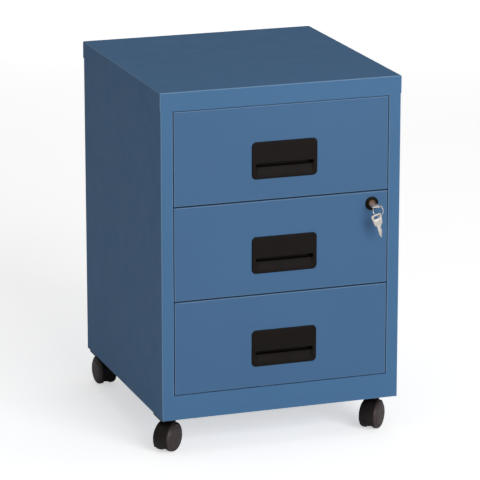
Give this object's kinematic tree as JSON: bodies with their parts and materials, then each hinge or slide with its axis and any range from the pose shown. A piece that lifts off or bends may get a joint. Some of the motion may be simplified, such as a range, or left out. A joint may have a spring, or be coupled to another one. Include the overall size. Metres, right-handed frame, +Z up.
{
  "type": "mobile filing cabinet",
  "caption": "Low steel pedestal cabinet with stacked full-width drawers, recessed black pulls, a cam lock with keys, and twin-wheel swivel castors.",
  "frame": {"origin": "on the floor, under the centre of the whole object's box, key included", "axes": "+Z up, -Y out of the drawer fronts, +X to the right when facing the fronts"},
  "size_m": [0.408, 0.4605, 0.59],
  "materials": {
    "blue_paint": "fine textured satin powder coat",
    "galvanised": "zinc plated",
    "black_plastic": "satin moulded plastic",
    "wheel_plastic": "satin moulded plastic",
    "roller_plastic": "moulded nylon",
    "lock_metal": "black plated zinc",
    "key_metal": "nickel plated, satin",
    "steel": "bright zinc plated"
  },
  "bodies": {
    "cabinet": {"top_panel": "blue_paint", "left_side_panel": "blue_paint", "right_side_panel": "blue_paint", "back_panel": "blue_paint", "bottom_panel": "blue_paint", "runner_posts": "galvanised", "back_rivets": "blue_paint", "castor_screws": "steel", "lock_bar_guides": "galvanised", "cabinet_rails_1": "galvanised", "cabinet_rails_2": "galvanised", "cabinet_rails_3": "galvanised", "castor_plate_front_left": "black_plastic", "castor_plate_front_right": "black_plastic", "castor_plate_back_left": "black_plastic", "castor_plate_back_right": "black_plastic"},
    "drawer_1": {"drawer_1_front": "blue_paint", "drawer_1_tray": "blue_paint", "drawer_1_handle": "black_plastic", "drawer_1_rails": "galvanised"},
    "rear_rollers_1": {"drawer_1_rollers": "roller_plastic"},
    "front_rollers_1": {"cabinet_rollers_1": "roller_plastic"},
    "drawer_2": {"drawer_2_front": "blue_paint", "drawer_2_tray": "blue_paint", "drawer_2_handle": "black_plastic", "drawer_2_rails": "galvanised", "lock_cylinder": "lock_metal", "lock_nut": "steel"},
    "rear_rollers_2": {"drawer_2_rollers": "roller_plastic"},
    "front_rollers_2": {"cabinet_rollers_2": "roller_plastic"},
    "drawer_3": {"drawer_3_front": "blue_paint", "drawer_3_tray": "blue_paint", "drawer_3_handle": "black_plastic", "drawer_3_rails": "galvanised"},
    "rear_rollers_3": {"drawer_3_rollers": "roller_plastic"},
    "front_rollers_3": {"cabinet_rollers_3": "roller_plastic"},
    "lock_barrel": {"lock_plug": "lock_metal", "lock_cam": "steel", "key": "key_metal"},
    "lock_bar": {"lock_bar": "galvanised"},
    "key_ring": {"key_ring": "key_metal"},
    "spare_key": {"spare_key": "key_metal"},
    "castor_front_left": {"castor_housing_front_left": "black_plastic", "castor_axle_front_left": "steel"},
    "wheel_front_left_left": {"castor_wheel_front_left_left": "wheel_plastic"},
    "wheel_front_left_right": {"castor_wheel_front_left_right": "wheel_plastic"},
    "castor_front_right": {"castor_housing_front_right": "black_plastic", "castor_axle_front_right": "steel"},
    "wheel_front_right_left": {"castor_wheel_front_right_left": "wheel_plastic"},
    "wheel_front_right_right": {"castor_wheel_front_right_right": "wheel_plastic"},
    "castor_back_left": {"castor_housing_back_left": "black_plastic", "castor_axle_back_left": "steel"},
    "wheel_back_left_left": {"castor_wheel_back_left_left": "wheel_plastic"},
    "wheel_back_left_right": {"castor_wheel_back_left_right": "wheel_plastic"},
    "castor_back_right": {"castor_housing_back_right": "black_plastic", "castor_axle_back_right": "steel"},
    "wheel_back_right_left": {"castor_wheel_back_right_left": "wheel_plastic"},
    "wheel_back_right_right": {"castor_wheel_back_right_right": "wheel_plastic"}
  },
  "joints": [
    {"name": "drawer_1_slide", "type": "slide", "parent": "cabinet", "child": "drawer_1", "axis": [0, -1, 0], "range_m": [0, 0.3]},
    {"name": "rear_rollers_1_spin", "type": "hinge", "parent": "drawer_1", "child": "rear_rollers_1", "pos_m": [0, 0.183, 0.4292], "axis": [1, 0, 0], "range_deg": [-5, 2300]},
    {"name": "front_rollers_1_spin", "type": "hinge", "parent": "cabinet", "child": "front_rollers_1", "pos_m": [0, -0.147, 0.4292], "axis": [1, 0, 0], "range_deg": [-5, 2300]},
    {"name": "drawer_2_slide", "type": "slide", "parent": "cabinet", "child": "drawer_2", "axis": [0, -1, 0], "range_m": [0, 0.3]},
    {"name": "rear_rollers_2_spin", "type": "hinge", "parent": "drawer_2", "child": "rear_rollers_2", "pos_m": [0, 0.183, 0.2761], "axis": [1, 0, 0], "range_deg": [-5, 2300]},
    {"name": "front_rollers_2_spin", "type": "hinge", "parent": "cabinet", "child": "front_rollers_2", "pos_m": [0, -0.147, 0.2761], "axis": [1, 0, 0], "range_deg": [-5, 2300]},
    {"name": "drawer_3_slide", "type": "slide", "parent": "cabinet", "child": "drawer_3", "axis": [0, -1, 0], "range_m": [0, 0.3]},
    {"name": "rear_rollers_3_spin", "type": "hinge", "parent": "drawer_3", "child": "rear_rollers_3", "pos_m": [0, 0.183, 0.123], "axis": [1, 0, 0], "range_deg": [-5, 2300]},
    {"name": "front_rollers_3_spin", "type": "hinge", "parent": "cabinet", "child": "front_rollers_3", "pos_m": [0, -0.147, 0.123], "axis": [1, 0, 0], "range_deg": [-5, 2300]},
    {"name": "lock_turn", "type": "hinge", "parent": "drawer_2", "child": "lock_barrel", "pos_m": [0.151, -0.197, 0.3863], "axis": [0, -1, 0], "range_deg": [-1, 91]},
    {"name": "lock_bar_slide", "type": "slide", "parent": "cabinet", "child": "lock_bar", "axis": [0, 0, 1], "range_m": [0, 0.012]},
    {"name": "key_ring_swing", "type": "hinge", "parent": "lock_barrel", "child": "key_ring", "pos_m": [0.1522, -0.2218, 0.3873], "axis": [0.6428, -0.766, 0], "range_deg": [-6, 6]},
    {"name": "spare_key_swing", "type": "hinge", "parent": "key_ring", "child": "spare_key", "pos_m": [0.1522, -0.2218, 0.3715], "axis": [0.0872, -0.9962, 0], "range_deg": [-12, 12]},
    {"name": "castor_front_left_swivel", "type": "hinge", "parent": "cabinet", "child": "castor_front_left", "pos_m": [-0.174, -0.158, 0.05], "axis": [0, 0, 1], "continuous": true},
    {"name": "wheel_front_left_left_spin", "type": "hinge", "parent": "castor_front_left", "child": "wheel_front_left_left", "pos_m": [-0.18013, -0.16314, 0.0225], "axis": [0.6428, -0.766, 0], "continuous": true},
    {"name": "wheel_front_left_right_spin", "type": "hinge", "parent": "castor_front_left", "child": "wheel_front_left_right", "pos_m": [-0.18013, -0.16314, 0.0225], "axis": [0.6428, -0.766, 0], "continuous": true},
    {"name": "castor_front_right_swivel", "type": "hinge", "parent": "cabinet", "child": "castor_front_right", "pos_m": [0.174, -0.158, 0.05], "axis": [0, 0, 1], "continuous": true},
    {"name": "wheel_front_right_left_spin", "type": "hinge", "parent": "castor_front_right", "child": "wheel_front_right_left", "pos_m": [0.16844, -0.16376, 0.0225], "axis": [0.7193, -0.6947, 0], "continuous": true},
    {"name": "wheel_front_right_right_spin", "type": "hinge", "parent": "castor_front_right", "child": "wheel_front_right_right", "pos_m": [0.16844, -0.16376, 0.0225], "axis": [0.7193, -0.6947, 0], "continuous": true},
    {"name": "castor_back_left_swivel", "type": "hinge", "parent": "cabinet", "child": "castor_back_left", "pos_m": [-0.174, 0.197, 0.05], "axis": [0, 0, 1], "continuous": true},
    {"name": "wheel_back_left_left_spin", "type": "hinge", "parent": "castor_back_left", "child": "wheel_back_left_left", "pos_m": [-0.17497, 0.20494, 0.0225], "axis": [-0.9925, -0.1219, 0], "continuous": true},
    {"name": "wheel_back_left_right_spin", "type": "hinge", "parent": "castor_back_left", "child": "wheel_back_left_right", "pos_m": [-0.17497, 0.20494, 0.0225], "axis": [-0.9925, -0.1219, 0], "continuous": true},
    {"name": "castor_back_right_swivel", "type": "hinge", "parent": "cabinet", "child": "castor_back_right", "pos_m": [0.174, 0.197, 0.05], "axis": [0, 0, 1], "continuous": true},
    {"name": "wheel_back_right_left_spin", "type": "hinge", "parent": "castor_back_right", "child": "wheel_back_right_left", "pos_m": [0.178, 0.20393, 0.0225], "axis": [-0.866, 0.5, 0], "continuous": true},
    {"name": "wheel_back_right_right_spin", "type": "hinge", "parent": "castor_back_right", "child": "wheel_back_right_right", "pos_m": [0.178, 0.20393, 0.0225], "axis": [-0.866, 0.5, 0], "continuous": true}
  ],
  "couplings": [
    {"joint": "rear_rollers_1_spin", "follows": "drawer_1_slide", "rad_per_m": 133.33},
    {"joint": "front_rollers_1_spin", "follows": "drawer_1_slide", "rad_per_m": 133.33},
    {"joint": "rear_rollers_2_spin", "follows": "drawer_2_slide", "rad_per_m": 133.33},
    {"joint": "front_rollers_2_spin", "follows": "drawer_2_slide", "rad_per_m": 133.33},
    {"joint": "rear_rollers_3_spin", "follows": "drawer_3_slide", "rad_per_m": 133.33},
    {"joint": "front_rollers_3_spin", "follows": "drawer_3_slide", "rad_per_m": 133.33},
    {"joint": "lock_turn", "follows": "lock_bar_slide", "rad_per_m": 130.9}
  ]
}
